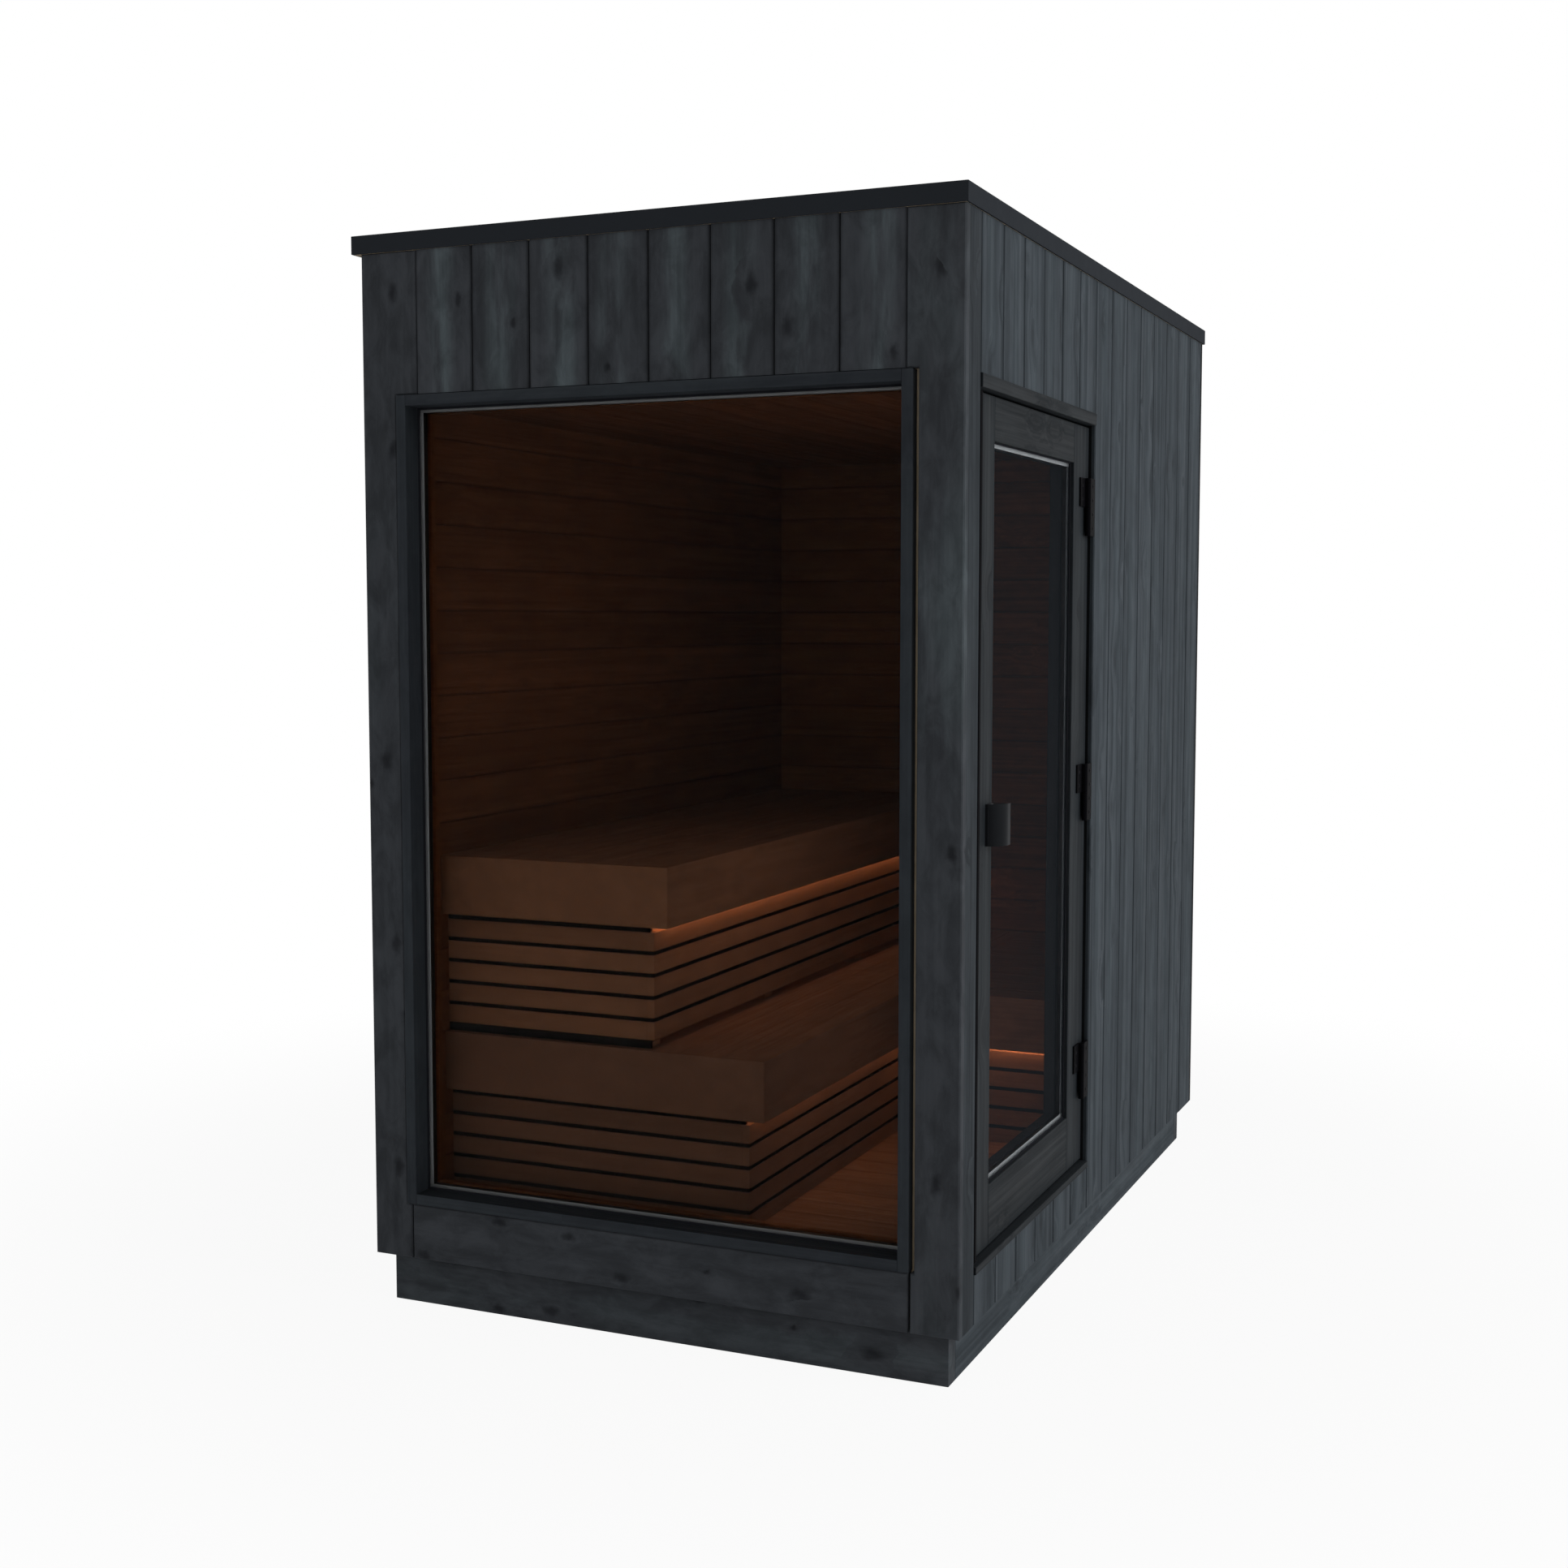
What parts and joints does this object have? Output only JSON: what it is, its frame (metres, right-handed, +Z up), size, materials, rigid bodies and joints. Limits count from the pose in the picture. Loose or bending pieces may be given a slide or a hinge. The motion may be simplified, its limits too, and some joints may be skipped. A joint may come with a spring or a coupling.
{
  "type": "outdoor sauna cabin",
  "caption": "Compact outdoor sauna cabin of black boards with a large fixed front window, a glazed side door and tiered slatted benches inside.",
  "frame": {"origin": "on the ground under the middle of the walls, at the underside of the centre bearer", "axes": "+Z up, +X out through the wall with the door, -Y out through the wall with the large window"},
  "size_m": [1.445, 2.21, 2.4],
  "materials": {
    "black_cladding": "black stained spruce boards, matt",
    "black_joinery": "black stained planed timber, satin",
    "black_plinth": "black stained plinth boards, matt",
    "wall_core": "timber frame with insulation, unfinished",
    "lining": "dark heat-treated alder boards, matt",
    "bench_wood": "heat-treated alder, satin",
    "floor_wood": "oiled brown floor boards, satin",
    "roof_trim": "black folded sheet, satin",
    "roof_sheet": "black roofing felt, matt",
    "glass": "tinted sealed unit, clear gloss",
    "spacer": "grey spacer bar, satin",
    "black_metal": "black powder coat, satin",
    "light_strip": "warm diffuser of a light strip"
  },
  "bodies": {
    "cabin": {"plinth_ends": "black_plinth", "plinth_sides": "black_plinth", "base_bearers": "wall_core", "floor": "floor_wood", "wall_beside_window": "wall_core", "wall_over_window": "wall_core", "wall_under_window": "wall_core", "wall_back": "wall_core", "wall_left": "wall_core", "wall_beside_door": "wall_core", "wall_over_door": "wall_core", "wall_under_door": "wall_core", "cladding_front": "black_cladding", "cladding_back": "black_cladding", "cladding_left": "black_cladding", "cladding_right": "black_cladding", "lining_front": "lining", "lining_back": "lining", "lining_left": "lining", "lining_right": "lining", "ceiling": "lining", "roof_deck": "wall_core", "roof_sheet": "roof_sheet", "fascia_ends": "roof_trim", "fascia_sides": "roof_trim", "window_jambs": "black_joinery", "window_head": "black_joinery", "window_sill": "black_joinery", "window_glass": "glass", "window_spacer": "spacer", "door_jambs": "black_joinery", "door_head": "black_joinery", "door_threshold": "black_joinery", "hinge_frame_halves": "black_metal", "upper_bench_seat": "bench_wood", "upper_bench_front_skirt": "bench_wood", "upper_bench_end_skirt": "bench_wood", "upper_bench_bearers": "bench_wood", "lower_bench_seat": "bench_wood", "lower_bench_front_skirt": "bench_wood", "lower_bench_end_skirt": "bench_wood", "lower_bench_bearers": "bench_wood", "lower_bench_return_seat": "bench_wood", "lower_bench_return_skirt": "bench_wood", "bench_lights": "light_strip"},
    "door": {"door_stiles": "black_joinery", "door_rails": "black_joinery", "door_glass": "glass", "door_spacer": "spacer", "door_handle": "black_metal", "hinge_door_halves": "black_metal"}
  },
  "joints": [
    {"name": "door_hinge", "type": "hinge", "parent": "cabin", "child": "door", "pos_m": [0.695, -0.155, 1.144], "axis": [0, 0, 1], "range_deg": [0, 110]}
  ]
}
